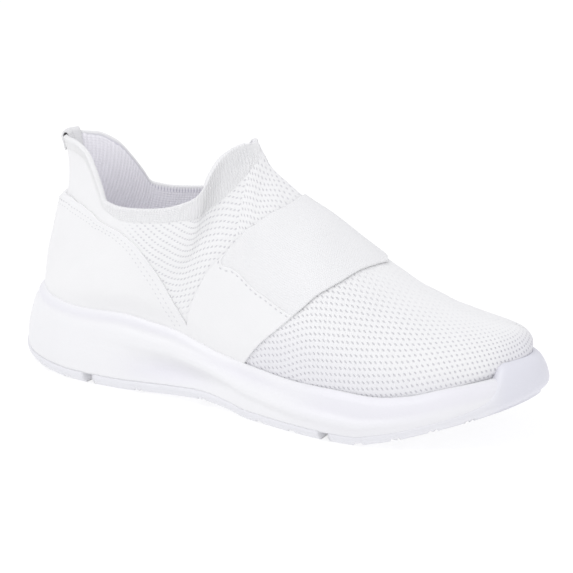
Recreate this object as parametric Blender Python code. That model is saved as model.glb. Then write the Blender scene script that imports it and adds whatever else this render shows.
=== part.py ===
import bpy
import numpy as np

# Sizes in metres. X runs from the back of the heel to the toe, Y to the inner side, Z up.
soleLength = 0.278
ballWidth = 0.104
tallestHeight = 0.1258
gap = 0.0003
bedClear = 0.0006
overlayClear = 0.0005

# Sole
lipThickness = 0.0027
bevelInset = 0.0035
bevelHeight = 0.0050
soleHollowDepth = 0.0034
soleRidgeHeight = 0.0012
insoleThickness = 0.0040

# Tread
grooveDepth = 0.0016
grooveWidth = 0.0034
grooveDraft = 0.0008
channelDepth = 0.0016
channelShare = 0.10
channelDraftShare = 0.02
heelPodEnd = 0.218
middlePodStart = 0.233
middlePodEnd = 0.640
frontPodStart = 0.655
heelGrooves = (0.128, 0.182)
middleGrooves = (0.310, 0.420, 0.530, 0.590)
frontGrooves = (0.700, 0.755, 0.810, 0.865)
bumperStart = 0.908
bumperRamp = 0.004
bumperClear = 0.002
stepShare = 0.0004

# Upper and what is laid on it
wallThickness = 0.0022
rimRelease = 0.012
overlayThickness = 0.0010
counterPad = 0.0030
bandThickness = 0.0012
tabThickness = 0.0011
tongueTip = 0.45
tabHalfShare = 0.022
tabDepth = 0.08
counterEnd = 0.352
rimClear = 0.0012
seamGap = 0.006

# How finely each body is divided
sideStations = 52
collarStations = 24
frontStations = 20
upperRows = 11
counterRises = 7
arcSteps = 6

# Outline of the sole from the heel round the outer side: share of length, share of ball width
outlineRows = np.array([
    (0.000, 0.000), (0.045, -0.255), (0.150, -0.370), (0.300, -0.375), (0.420, -0.390), (0.560, -0.465),
    (0.680, -0.510), (0.820, -0.450), (0.940, -0.240), (1.000, 0.085), (0.948, 0.318), (0.850, 0.438),
    (0.730, 0.475), (0.600, 0.420), (0.430, 0.320), (0.300, 0.325), (0.150, 0.360), (0.045, 0.245)])

# Underside: share of length, height as a share of ball width
undersideRows = np.array([
    (0.000, 0.060), (0.020, 0.038), (0.060, 0.018), (0.110, 0.006), (0.150, 0.000), (0.240, 0.000),
    (0.300, 0.008), (0.360, 0.020), (0.420, 0.030), (0.470, 0.020), (0.520, 0.000), (0.725, 0.000),
    (0.760, 0.020), (0.800, 0.048), (0.840, 0.082), (0.880, 0.114), (0.920, 0.146), (0.960, 0.182),
    (1.000, 0.225)])

# Foot side of the midsole above the underside: share of length, stack as a share of ball width
stackRows = np.array([
    (0.000, 0.230), (0.200, 0.230), (0.350, 0.200), (0.500, 0.155), (0.700, 0.120), (0.850, 0.085), (1.000, 0.075)])

# Rim of the midsole: share of length, height as a share of ball width
rimRows = np.array([
    (0.000, 0.388), (0.045, 0.384), (0.090, 0.362), (0.150, 0.354), (0.240, 0.364), (0.300, 0.345),
    (0.350, 0.325), (0.400, 0.288), (0.450, 0.258), (0.520, 0.238), (0.600, 0.226), (0.680, 0.229),
    (0.750, 0.222), (0.810, 0.240), (0.870, 0.280), (0.930, 0.310), (1.000, 0.345)])

# Top of the whole side wall, which the bumper follows at the toe
sideTopRows = np.array([
    (0.000, 0.388), (0.045, 0.384), (0.090, 0.362), (0.150, 0.354), (0.240, 0.364), (0.300, 0.345),
    (0.350, 0.325), (0.400, 0.288), (0.450, 0.258), (0.520, 0.238), (0.600, 0.226), (0.680, 0.229),
    (0.750, 0.222), (0.810, 0.240), (0.870, 0.280), (0.930, 0.340), (0.960, 0.376), (1.000, 0.392)])

# Lean of the side wall at its top: share of length, inset as a share of ball width
leanRows = np.array([
    (0.000, 0.064), (0.060, 0.061), (0.150, 0.057), (0.850, 0.057), (0.950, 0.056), (1.000, 0.055)])

# Shape of the side wall: share of its height, share of the lean
wallRows = np.array([
    (0.00, 0.00), (0.30, 0.00), (0.50, 0.13), (0.70, 0.38), (0.85, 0.66), (1.00, 1.00)])

# Height of the side of the tread pieces above the underside, as a share of ball width
treadSideRows = np.array([
    (0.000, 0.052), (0.300, 0.050), (0.500, 0.046), (0.900, 0.040), (1.000, 0.040)])

# Collar line: foot share, share of length, half opening by ball width, height by tallest height
collarRows = np.array([
    (0.000, 0.061, 0.000, 0.922), (0.020, 0.068, 0.064, 0.922), (0.045, 0.098, 0.118, 0.920),
    (0.070, 0.130, 0.152, 0.892), (0.095, 0.154, 0.184, 0.835), (0.120, 0.173, 0.212, 0.777),
    (0.145, 0.191, 0.238, 0.722), (0.175, 0.225, 0.260, 0.713), (0.210, 0.261, 0.271, 0.719),
    (0.260, 0.314, 0.275, 0.738), (0.300, 0.355, 0.269, 0.770), (0.330, 0.380, 0.260, 0.803),
    (0.355, 0.393, 0.243, 0.848), (0.375, 0.399, 0.214, 0.898), (0.400, 0.409, 0.158, 0.955),
    (0.425, 0.427, 0.084, 0.990), (0.450, 0.442, 0.000, 1.000)])

# Ridge line: foot share, share of length, height by tallest height
ridgeRows = np.array([
    (0.450, 0.444, 1.000), (0.470, 0.455, 0.962), (0.490, 0.470, 0.910), (0.520, 0.495, 0.864),
    (0.550, 0.528, 0.808), (0.600, 0.579, 0.745), (0.650, 0.642, 0.655), (0.700, 0.704, 0.571),
    (0.760, 0.780, 0.491), (0.820, 0.843, 0.449), (0.880, 0.893, 0.430), (0.940, 0.925, 0.420),
    (1.000, 0.943, 0.414)])

# Middle line of the upper: foot share, share of ball width towards the inner side
middleRows = np.array([(0.00, 0.000), (0.30, 0.000), (0.45, 0.030), (0.60, 0.070), (0.80, 0.105), (1.00, 0.110)])

# Section of the upper: foot share, hip rise, hip out, shoulder out, shoulder drop
sectionRows = np.array([
    (0.00, 0.33, 0.024, -0.106, 0.30), (0.06, 0.35, 0.030, -0.070, 0.30), (0.13, 0.40, 0.040, -0.010, 0.32),
    (0.21, 0.42, 0.045, 0.020, 0.35), (0.33, 0.45, 0.040, 0.030, 0.34), (0.40, 0.50, 0.034, 0.050, 0.28),
    (0.45, 0.55, 0.030, 0.080, 0.12), (0.50, 0.58, 0.030, 0.105, 0.04), (0.60, 0.62, 0.030, 0.155, 0.03),
    (0.70, 0.64, 0.025, 0.190, 0.05), (0.80, 0.64, 0.024, 0.205, 0.06), (0.88, 0.62, 0.030, 0.170, 0.06),
    (0.94, 0.60, 0.040, 0.100, 0.04), (1.00, 0.58, 0.045, 0.040, 0.02)])


# Top edge of the heel counter: foot share, rise on the upper
counterRows = np.array([
    (0.000, 0.655), (0.030, 0.650), (0.060, 0.655), (0.090, 0.700), (0.120, 0.770), (0.150, 0.815),
    (0.180, 0.820), (0.210, 0.790), (0.240, 0.720), (0.270, 0.605), (0.300, 0.470), (0.330, 0.335),
    (0.360, 0.200)])

# Padding behind the heel counter: foot share, share of the full padding
padRows = np.array([(0.00, 1.00), (0.03, 0.90), (0.06, 0.55), (0.10, 0.15), (0.14, 0.00)])

# The same from the rim up to the top edge: share of the way up, share of the full padding
padRiseRows = np.array([(0.00, 0.05), (0.20, 0.35), (0.50, 0.85), (0.75, 1.00), (1.00, 0.85)])

# Sides of the strap: rise on the upper, foot share at the back, foot share at the front
strapRows = np.array([
    (0.00, 0.384, 0.470), (0.10, 0.383, 0.500), (0.20, 0.382, 0.540), (0.30, 0.388, 0.577), (0.40, 0.442, 0.606),
    (0.50, 0.478, 0.630), (0.60, 0.508, 0.648), (0.75, 0.538, 0.667), (0.90, 0.549, 0.683), (1.00, 0.551, 0.690)])

# Seam between band and side panel: share from back to front, rise on the upper
seamRows = np.array([(0.00, 0.345), (0.25, 0.315), (0.50, 0.292), (0.75, 0.284), (1.00, 0.276)])


# Smooth curve through rows of a table that never overshoots them
def along(rows, column, t):
    xs = rows[:, 0]
    ys = rows[:, column]
    steps = np.diff(xs)
    rates = np.diff(ys) / steps
    slopes = np.zeros(len(xs))
    slopes[0] = rates[0]
    slopes[-1] = rates[-1]
    for i in range(1, len(xs) - 1):
        if rates[i - 1] * rates[i] > 0:
            before = 2 * steps[i] + steps[i - 1]
            after = steps[i] + 2 * steps[i - 1]
            slopes[i] = (before + after) / (before / rates[i - 1] + after / rates[i])
    t = np.clip(np.asarray(t, float), xs[0], xs[-1])
    k = np.clip(np.searchsorted(xs, t, side="right") - 1, 0, len(steps) - 1)
    h = steps[k]
    a = (t - xs[k]) / h
    return (ys[k] * (1 + 2 * a) * (1 - a) ** 2 + slopes[k] * h * a * (1 - a) ** 2
            + ys[k + 1] * a * a * (3 - 2 * a) + slopes[k + 1] * h * a * a * (a - 1))


# Closed smooth curve through the outline rows, sampled evenly and split at heel and toe
def outlineSides():
    p = outlineRows * np.array([soleLength, ballWidth])
    n = len(p)
    length = np.linalg.norm(np.roll(p, -1, 0) - p, axis=1)
    knots = np.concatenate([[0.0], np.cumsum(length)])
    system = np.zeros((n, n))
    right = np.zeros((n, 2))
    for i in range(n):
        before = length[i - 1]
        after = length[i]
        system[i, i - 1] += before
        system[i, i] += 2 * (before + after)
        system[i, (i + 1) % n] += after
        right[i] = 6 * ((p[(i + 1) % n] - p[i]) / after - (p[i] - p[i - 1]) / before)
    bend = np.linalg.solve(system, right)
    t = np.linspace(0, knots[-1], 6001)[:-1]
    k = np.clip(np.searchsorted(knots, t, side="right") - 1, 0, n - 1)
    h = length[k][:, None]
    b = ((t - knots[k]) / length[k])[:, None]
    a = 1 - b
    j = (k + 1) % n
    line = a * p[k] + b * p[j] + ((a ** 3 - a) * bend[k] + (b ** 3 - b) * bend[j]) * h * h / 6
    heel = int(line[:, 0].argmin())
    line = np.roll(line, -heel, 0)
    line[:, 0] -= line[0, 0]
    line[:, 0] *= soleLength / line[:, 0].max()
    toe = int(line[:, 0].argmax())
    sides = {}
    for side, part in ((-1, line[:toe + 1]), (1, np.vstack([line[:1], line[:toe - 1:-1]]))):
        step = np.concatenate([[0.0], np.cumsum(np.linalg.norm(np.diff(part, axis=0), axis=1))])
        share = np.linspace(0, 1, 1501)
        even = np.stack([np.interp(share, step / step[-1], part[:, c]) for c in (0, 1)], 1)
        run = np.gradient(even, axis=0)
        run[0] = (0, side)
        run[-1] = (0, -side)
        run /= np.linalg.norm(run, axis=1)[:, None]
        out = np.stack([-run[:, 1], run[:, 0]], 1) * side
        sides[side] = (share, even, out)
    return sides


outlines = outlineSides()


# Point and outward direction on the outline, side -1 outer and 1 inner
def rimPoint(side, share):
    share = np.asarray(share, float)
    side = np.broadcast_to(side, share.shape)
    point = np.zeros(share.shape + (2,))
    out = np.zeros(share.shape + (2,))
    for which in (-1, 1):
        table, even, away = outlines[which]
        here = side == which
        for c in (0, 1):
            point[..., c] = np.where(here, np.interp(share, table, even[:, c]), point[..., c])
            out[..., c] = np.where(here, np.interp(share, table, away[:, c]), out[..., c])
    out /= np.linalg.norm(out, axis=-1, keepdims=True)
    return point, out


# Middle of the chord that joins the two sides at one share, an inset in from the outline
def chordX(share, inset):
    outer, outward = rimPoint(-1, share)
    inner, inward = rimPoint(1, share)
    return (outer[..., 0] + inner[..., 0] - inset * (outward[..., 0] + inward[..., 0])) / 2


def bySole(rows, x):
    return along(rows, 1, x / soleLength) * ballWidth


def underside(x):
    return bySole(undersideRows, x)


def footbed(x):
    return underside(x) + bySole(stackRows, x)


def treadTop(x):
    return underside(x) + bySole(treadSideRows, x)


def rimTop(x):
    return bySole(rimRows, x)


def sideTop(x):
    return bySole(sideTopRows, x)


def bump(t, centre, half):
    return np.where(np.abs(t - centre) < half, 0.5 + 0.5 * np.cos(np.pi * (t - centre) / half), 0.0)


# Inset of the side wall from the outline at height z
def sideInset(x, z):
    low = underside(x)
    top = bySole(sideTopRows, x)
    share = np.clip((z - low) / (top - low), 0, 1)
    near = np.clip((z - low) / bevelHeight, 0, 1)
    inset = along(wallRows, 1, share) * bySole(leanRows, x) + bevelInset * (1 - near) ** 2
    part = x / soleLength
    inset = inset + soleHollowDepth * bump(part, 0.37, 0.15) * bump(share, 0.42, 0.30)
    ridgeLine = np.interp(part, [0.3, 0.85], [0.88, 0.30])
    return inset - soleRidgeHeight * bump(part, 0.58, 0.28) * bump(share, ridgeLine, 0.22)


def bedInset(x):
    return bySole(leanRows, x) + lipThickness


# Cubic arc of the upper from the feather edge to the collar or the ridge, with v from 0 to 1
def upperPoint(side, u, v):
    side = np.broadcast_to(np.asarray(side), np.broadcast(u, v).shape).copy()
    u = np.broadcast_to(np.asarray(u, float), side.shape).copy()
    v = np.broadcast_to(np.asarray(v, float), side.shape).copy()
    side = np.where((u < 0) | (u > 1), -side, side)
    u = np.where(u > 1, 2 - u, np.abs(u))
    over = (v > 1) & (u > tongueTip)
    side = np.where(over, -side, side)
    v = np.where(over, 2 - v, v)
    edge, out = rimPoint(side, u)
    inset = bedInset(chordX(u, 0.0)) + bedClear
    foot = edge - out * inset[..., None]
    footZ = footbed(chordX(u, inset)) + gap
    open_ = u <= tongueTip
    topX = np.where(open_, along(collarRows, 1, u), along(ridgeRows, 1, u)) * soleLength
    half = np.where(open_, along(collarRows, 2, u), 0.0) * ballWidth
    topZ = np.where(open_, along(collarRows, 3, u), along(ridgeRows, 2, u)) * tallestHeight
    topY = along(middleRows, 1, u) * ballWidth + side * half
    rise = topZ - footZ
    hipOut = along(sectionRows, 2, u) * ballWidth
    shoulderOut = along(sectionRows, 3, u) * ballWidth
    p0 = np.stack([foot[..., 0], foot[..., 1], footZ], -1)
    p3 = np.stack([topX, topY, topZ], -1)
    p1 = p0.copy()
    p1[..., :2] += out * hipOut[..., None]
    p1[..., 2] += rise * along(sectionRows, 1, u)
    p2 = p3.copy()
    p2[..., :2] += out * shoulderOut[..., None]
    p2[..., 2] -= rise * along(sectionRows, 4, u)
    a = v[..., None]
    b = 1 - a
    p = b ** 3 * p0 + 3 * b * b * a * p1 + 3 * b * a * a * p2 + a ** 3 * p3
    spread = np.maximum(((p[..., :2] - foot) * out).sum(-1), 0.0)
    free = np.clip((p[..., 2] - sideTop(chordX(u, inset))) / rimRelease, 0.0, 1.0)
    p[..., :2] -= out * (spread * (1 - free * free * (3 - 2 * free)))[..., None]
    return p


def upperNormal(side, u, v):
    small = 0.002
    side = np.asarray(side)
    u = np.asarray(u, float)
    v = np.where(u > 1 - small, np.minimum(v, 1 - small), v)
    du = upperPoint(side, u + small, v) - upperPoint(side, u - small, v)
    dv = upperPoint(side, u, v + small) - upperPoint(side, u, v - small)
    n = np.cross(du, dv) * np.broadcast_to(-side, du.shape[:-1])[..., None]
    return n / np.linalg.norm(n, axis=-1, keepdims=True)


# Closed body gathered face by face, with points at one place held once
class Skin:
    def __init__(self):
        self.points = []
        self.known = {}
        self.faces = []

    def add(self, p):
        key = tuple(int(round(float(c) * 1e7)) for c in p)
        if key not in self.known:
            self.known[key] = len(self.points)
            self.points.append([float(c) for c in p])
        return self.known[key]

    def face(self, ids):
        ring = [a for i, a in enumerate(ids) if a != ids[i - 1]]
        if len(ring) >= 3 and len(set(ring)) == len(ring):
            self.faces.append(ring)

    def volume(self):
        total = 0.0
        p = np.array(self.points)
        for ring in self.faces:
            for i in range(1, len(ring) - 1):
                total += np.dot(p[ring[0]], np.cross(p[ring[i]], p[ring[i + 1]]))
        return total / 6


def loft(sections, capStart, capEnd):
    skin = Skin()
    rings = [[skin.add(p) for p in section] for section in sections]
    for a, b in zip(rings[:-1], rings[1:]):
        for i in range(len(a)):
            j = (i + 1) % len(a)
            skin.face([a[i], a[j], b[j], b[i]])
    if capStart:
        skin.face(rings[0][::-1])
    if capEnd:
        skin.face(rings[-1])
    return skin


def paint(name, colour, roughness):
    material = bpy.data.materials.new(name)
    material.use_nodes = True
    shader = material.node_tree.nodes["Principled BSDF"]
    shader.inputs["Base Color"].default_value = (*colour, 1.0)
    shader.inputs["Roughness"].default_value = roughness
    shader.inputs["Metallic"].default_value = 0.0
    return material


def finish(name, skin, material, root):
    faces = skin.faces if skin.volume() > 0 else [ring[::-1] for ring in skin.faces]
    mesh = bpy.data.meshes.new(name)
    mesh.from_pydata(skin.points, [], faces)
    mesh.update()
    mesh.shade_smooth()
    mesh.set_sharp_from_angle(angle=0.7)
    item = bpy.data.objects.new(name, mesh)
    bpy.context.scene.collection.objects.link(item)
    mesh.materials.append(material)
    item.parent = root
    return item


# Stations along the sole, closer together round the heel and the toe
def stationsBetween(start, end):
    t = np.linspace(0, 1, sideStations)
    all_ = t - 0.10 * np.sin(2 * np.pi * t)
    inner = [s for s in all_ if start + 0.006 < s < end - 0.006]
    return [start] + inner + [end]


def placed(side, share, inset, z):
    point, out = rimPoint(side, share)
    return np.array([*(point - out * inset), z])


def heightAt(height, share, inset):
    return float(height(chordX(share, inset)))


# Points up the side wall from one height function to another
def wallPoints(side, share, low, lift, high, levels):
    x = float(chordX(share, 0.0))
    bottom = heightAt(low, share, float(sideInset(x, low(x)))) + lift
    top = heightAt(high, share, float(sideInset(x, high(x))))
    points = []
    for level in levels:
        z = bottom + (top - bottom) * level
        points.append(placed(side, share, float(sideInset(x, z)), z))
    return points


def midsoleSection(share):
    levels = (0.0, 0.12, 0.3, 0.45, 0.6, 0.8, 1.0)
    halves = {}
    for side in (-1, 1):
        inner = float(bedInset(chordX(share, 0.0)))
        under = placed(side, share, inner + gap, heightAt(treadTop, share, inner) + gap)
        if share <= bumperStart:
            half = [under] + wallPoints(side, share, treadTop, gap, rimTop, levels)
            half.append(placed(side, share, inner, half[-1][2]))
            half.append(placed(side, share, inner, heightAt(footbed, share, inner)))
        else:
            outer = inner + gap
            bed = heightAt(footbed, share, outer)
            half = [under] + [placed(side, share, outer, under[2] + (bed - under[2]) * level) for level in levels]
            half += [half[-1]] * 2
        halves[side] = half
    return halves[-1] + halves[1][::-1]


def buildMidsole():
    shares = stationsBetween(0.0, bumperStart)
    shares += [bumperStart + stepShare] + stationsBetween(bumperStart, 1.0)[1:]
    return loft([midsoleSection(s) for s in shares], False, False)


def treadSection(share, lift):
    sides = []
    width = float(rimPoint(1, share)[0][1] - rimPoint(-1, share)[0][1])
    grown = min(max((share - bumperStart - bumperClear) / bumperRamp, 0.0), 1.0)
    for side in (-1, 1):
        inner = float(bedInset(chordX(share, 0.0)))

        def edgeTop(x):
            return treadTop(x) + (sideTop(x) - treadTop(x)) * grown

        half = wallPoints(side, share, underside, lift, edgeTop, (0.0, 0.16, 0.4, 0.7, 1.0))
        half.append(placed(side, share, inner, half[-1][2]) if grown > 0.001 else half[-1])
        half.append(placed(side, share, inner, heightAt(treadTop, share, inner)))
        half.insert(0, placed(side, share, inner, heightAt(underside, share, inner) + lift))
        sides.append(half[::-1])
    a = sides[0][-1]
    b = sides[1][-1]
    depth = max(channelDepth * min(max((width - 0.024) / 0.02, 0.0), 1.0) - lift, 0.0)
    half = channelShare / 2
    middle = []
    for across, up in ((0.5 - half - channelDraftShare, 0), (0.5 - half, depth),
                       (0.5 + half, depth), (0.5 + half + channelDraftShare, 0)):
        p = a + (b - a) * across
        middle.append(p + np.array([0, 0, up]))
    return sides[0] + middle + sides[1][::-1]


def buildTread(start, end, grooves, capStart, capEnd):
    cuts = []
    for centre in grooves:
        side = outlines[-1][1]
        run = float(np.linalg.norm(np.diff(side, axis=0), axis=1).sum())
        half = grooveWidth / 2 / run
        draft = grooveDraft / run
        cuts += [(centre - half - draft, 0.0), (centre - half, grooveDepth),
                 (centre + half, grooveDepth), (centre + half + draft, 0.0)]
    special = [start, end]
    if start < bumperStart < end:
        special += [bumperStart + bumperClear, bumperStart + bumperClear + bumperRamp]
    rows = [(s, 0.0) for s in special] + cuts
    for s in stationsBetween(start, end)[1:-1]:
        if min(abs(s - other) for other, lift in rows) > 0.009:
            rows.append((s, 0.0))
    rows.sort()
    return loft([treadSection(s, lift) for s, lift in rows], capStart, capEnd)


def buildInsole():
    sections = []
    for share in stationsBetween(0.0, 1.0):
        halves = []
        for side in (-1, 1):
            inset = float(bedInset(chordX(share, 0.0))) + 2 * bedClear + wallThickness
            half = []
            for extra, rise in ((0.0006, 0.0), (0.0, 0.6), (0.0014, 1.0)):
                bed = heightAt(footbed, share, inset + extra) + gap
                half.append(placed(side, share, inset + extra, bed + insoleThickness * rise))
            halves.append(half)
        sections.append(halves[0] + halves[1][::-1])
    return loft(sections, False, False)


def upperShares():
    back = np.linspace(0, 1, collarStations)
    front = np.linspace(0, 1, frontStations + 1)[1:]
    shares = np.concatenate([tongueTip * (back - 0.05 * np.sin(2 * np.pi * back)),
                             tongueTip + (1 - tongueTip) * (front + 0.04 * np.sin(2 * np.pi * front))])
    shares[np.abs(shares - bumperStart).argmin()] = bumperStart
    return shares


def normalOnLine(side, u, v):
    n = upperNormal(-1, u, v) + upperNormal(1, u, v)
    return n / np.linalg.norm(n)


def buildUpper():
    skin = Skin()
    shares = upperShares()
    rows = np.linspace(0, 1, upperRows + 1)
    last = len(shares) - 1
    grids = {}
    for side in (-1, 1):
        grid = {}
        for i, u in enumerate(shares):
            for j, v in enumerate(rows):
                shared = i in (0, last) or (j == upperRows and u >= tongueTip - 1e-9)
                if shared and side == 1:
                    grid[i, j] = grids[-1][i, j]
                    continue
                p = upperPoint(side, u, v)
                n = normalOnLine(side, u, v) if shared else upperNormal(side, u, v)
                grid[i, j] = (skin.add(p), skin.add(p - n * wallThickness))
        grids[side] = grid
        for i in range(last):
            for j in range(upperRows):
                for layer in (0, 1):
                    ring = [grid[i, j][layer], grid[i + 1, j][layer], grid[i + 1, j + 1][layer], grid[i, j + 1][layer]]
                    skin.face(ring if (side == -1) == (layer == 0) else ring[::-1])
            foot = [grid[i, 0][0], grid[i, 0][1], grid[i + 1, 0][1], grid[i + 1, 0][0]]
            skin.face(foot if side == -1 else foot[::-1])
            if shares[i + 1] <= tongueTip + 1e-9:
                j = upperRows
                edge = [grid[i, j][0], grid[i + 1, j][0], grid[i + 1, j][1], grid[i, j][1]]
                skin.face(edge if side == -1 else edge[::-1])
    return skin


# Shell laid on the upper between two distances, over a grid of sides, foot shares and rises
def overlay(side, u, v, inside, outside):
    points = upperPoint(side, u, v)
    normals = upperNormal(side, u, v)
    skin = Skin()
    rows, columns = u.shape
    layers = [[[skin.add(points[i, j] + normals[i, j] * d[i, j]) for j in range(columns)] for i in range(rows)]
              for d in (np.full(u.shape, inside), np.broadcast_to(outside, u.shape))]
    for i in range(rows - 1):
        for j in range(columns - 1):
            for layer, turn in ((layers[0], 1), (layers[1], -1)):
                skin.face([layer[i][j], layer[i + 1][j], layer[i + 1][j + 1], layer[i][j + 1]][::turn])
    border = [(i, 0) for i in range(rows)] + [(rows - 1, j) for j in range(1, columns)]
    border += [(i, columns - 1) for i in range(rows - 2, -1, -1)] + [(0, j) for j in range(columns - 2, 0, -1)]
    for k, (i, j) in enumerate(border):
        m, n = border[(k + 1) % len(border)]
        skin.face([layers[0][i][j], layers[1][i][j], layers[1][m][n], layers[0][m][n]])
    return skin


# Rise at which the upper clears the rim of the sole by a small height
def clearOfRim(side, u, clear):
    low = np.zeros_like(u)
    high = np.full_like(u, 0.6)
    for step in range(24):
        mid = (low + high) / 2
        inset = bedInset(chordX(np.abs(u), 0.0)) + bedClear
        level = sideTop(chordX(np.abs(u), inset)) + clear
        above = upperPoint(side, u, mid)[..., 2] > level
        high = np.where(above, mid, high)
        low = np.where(above, low, mid)
    return high


def buildCounter():
    reach = [s for s in upperShares() if s < counterEnd - 0.01] + [counterEnd]
    across = np.array([-s for s in reach[:0:-1]] + reach)
    u, t = np.meshgrid(across, np.linspace(0, 1, counterRises), indexing="ij")
    top = along(counterRows, 1, np.abs(u))
    low = clearOfRim(-1, u, rimClear)
    pad = counterPad * along(padRows, 1, np.abs(u)) * along(padRiseRows, 1, t)
    return overlay(-1, u, low + (top - low) * t, overlayClear, overlayClear + overlayThickness + pad)


def strapShare(rise, t):
    back = along(strapRows, 1, rise)
    return back + (along(strapRows, 2, rise) - back) * t


def buildStrapBand():
    rows = np.arange(upperRows + 1) / upperRows
    rows = rows[rows > seamRows[:, 1].max() + seamGap]
    t, b = np.meshgrid(np.linspace(0, 1, 9), np.arange(2 * len(rows) + 1), indexing="ij")
    seam = along(seamRows, 1, t) + seamGap
    full = np.concatenate([[0.0], rows, 2 - rows[-2::-1], [2.0]])[b]
    v = np.where(b == 0, seam, np.where(b == 2 * len(rows), 2 - seam, full))
    side = np.where(v > 1, 1, -1)
    rise = np.where(v > 1, 2 - v, v)
    return overlay(side, strapShare(rise, t), rise, overlayClear, overlayClear + bandThickness)


def buildStrapSide(side):
    t, b = np.meshgrid(np.linspace(0, 1, 9), np.linspace(0, 1, 7), indexing="ij")
    seam = along(seamRows, 1, t)
    low = clearOfRim(side, strapShare(0 * t, t), rimClear)
    for step in range(6):
        low = clearOfRim(side, strapShare(low, t), rimClear)
    v = low + (seam - low) * b
    return overlay(side, strapShare(v, t), v, overlayClear, overlayClear + overlayThickness)


# Ribbon folded over the back of the collar
def buildTab():
    sections = []
    for u in np.linspace(-tabHalfShare, tabHalfShare, 7):
        halves = []
        for radius in (overlayClear + wallThickness / 2, overlayClear + wallThickness / 2 + tabThickness):
            path = []
            for v in np.linspace(1 - tabDepth, 1, 4):
                middle = upperPoint(-1, u, v) - upperNormal(-1, u, v) * wallThickness / 2
                path.append(middle + upperNormal(-1, u, v) * radius)
            normal = upperNormal(-1, u, 1.0)
            rise = upperPoint(-1, u, 1.0) - upperPoint(-1, u, 0.97)
            rise = rise / np.linalg.norm(rise)
            middle = upperPoint(-1, u, 1.0) - normal * wallThickness / 2
            for turn in np.linspace(0, np.pi, arcSteps + 1)[1:-1]:
                path.append(middle + (normal * np.cos(turn) + rise * np.sin(turn)) * radius)
            for v in np.linspace(1, 1 - tabDepth, 4):
                middle = upperPoint(-1, u, v) - upperNormal(-1, u, v) * wallThickness / 2
                path.append(middle - upperNormal(-1, u, v) * radius)
            halves.append(path)
        sections.append(halves[0] + halves[1][::-1])
    return loft(sections, True, True)


def main():
    for item in list(bpy.data.objects):
        bpy.data.objects.remove(item)
    root = bpy.data.objects.new("shoe_frame", None)
    bpy.context.scene.collection.objects.link(root)
    ys = np.concatenate([outlines[-1][1][:, 1], outlines[1][1][:, 1]])
    root.location = (-soleLength / 2, -(ys.min() + ys.max()) / 2, 0)
    rubber = paint("outsole_rubber", (0.78, 0.77, 0.84), 0.55)
    foam = paint("midsole_foam", (0.84, 0.83, 0.88), 0.50)
    knit = paint("knit_white", (0.88, 0.88, 0.88), 0.85)
    lining = paint("insole_fabric", (0.70, 0.68, 0.76), 0.90)
    smooth = paint("smooth_overlay", (0.88, 0.88, 0.88), 0.45)
    elastic = paint("elastic_white", (0.87, 0.87, 0.87), 0.70)
    finish("outsole_heel", buildTread(0.0, heelPodEnd, heelGrooves, False, True), rubber, root)
    finish("outsole_middle", buildTread(middlePodStart, middlePodEnd, middleGrooves, True, True), rubber, root)
    finish("outsole_front", buildTread(frontPodStart, 1.0, frontGrooves, True, False), rubber, root)
    finish("midsole", buildMidsole(), foam, root)
    finish("insole", buildInsole(), lining, root)
    finish("upper", buildUpper(), knit, root)
    finish("heel_counter", buildCounter(), smooth, root)
    finish("strap_band", buildStrapBand(), elastic, root)
    finish("strap_side_outer", buildStrapSide(-1), smooth, root)
    finish("strap_side_inner", buildStrapSide(1), smooth, root)
    finish("pull_tab", buildTab(), knit, root)


main()
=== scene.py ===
import bpy
import bmesh
import math
import numpy as np
from mathutils import Matrix, Vector


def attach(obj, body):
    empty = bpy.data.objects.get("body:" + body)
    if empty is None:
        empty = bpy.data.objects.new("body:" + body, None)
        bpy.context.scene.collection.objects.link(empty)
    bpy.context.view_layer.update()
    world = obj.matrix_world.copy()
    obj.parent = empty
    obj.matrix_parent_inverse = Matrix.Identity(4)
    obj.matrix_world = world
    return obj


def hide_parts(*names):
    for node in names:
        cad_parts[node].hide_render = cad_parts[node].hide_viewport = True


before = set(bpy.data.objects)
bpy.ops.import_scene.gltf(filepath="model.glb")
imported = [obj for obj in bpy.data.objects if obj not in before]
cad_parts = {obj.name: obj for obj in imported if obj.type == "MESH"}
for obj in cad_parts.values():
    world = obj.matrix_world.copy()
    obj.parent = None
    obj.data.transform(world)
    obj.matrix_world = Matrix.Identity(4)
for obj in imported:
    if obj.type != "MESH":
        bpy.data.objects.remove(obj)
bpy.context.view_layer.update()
print("frame loaded")

# sizes in metres, X from the back of the heel to the toe, Y to the inner side
shoe = {
    "length": 0.278,
    "ballWidth": 0.104,
    "height": 0.1258,
    "gap": 0.0003,
    "bedClear": 0.0006,
    "lip": 0.0027,
    "bevelInset": 0.0035,
    "bevelHeight": 0.0050,
    "hollowDepth": 0.0034,
    "ridgeHeight": 0.0012,
    "wall": 0.0022,
    "rimRelease": 0.012,
    "tongueTip": 0.45,
    "bumperStart": 0.908,
}

# outline of the sole from the heel round the outer side: share of length, share of ball width
outlineRows = [
    (0.000, 0.000), (0.045, -0.255), (0.150, -0.370), (0.300, -0.375), (0.420, -0.390), (0.560, -0.465),
    (0.680, -0.510), (0.820, -0.450), (0.940, -0.240), (1.000, 0.085), (0.948, 0.318), (0.850, 0.438),
    (0.730, 0.475), (0.600, 0.420), (0.430, 0.320), (0.300, 0.325), (0.150, 0.360), (0.045, 0.245)]

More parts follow.
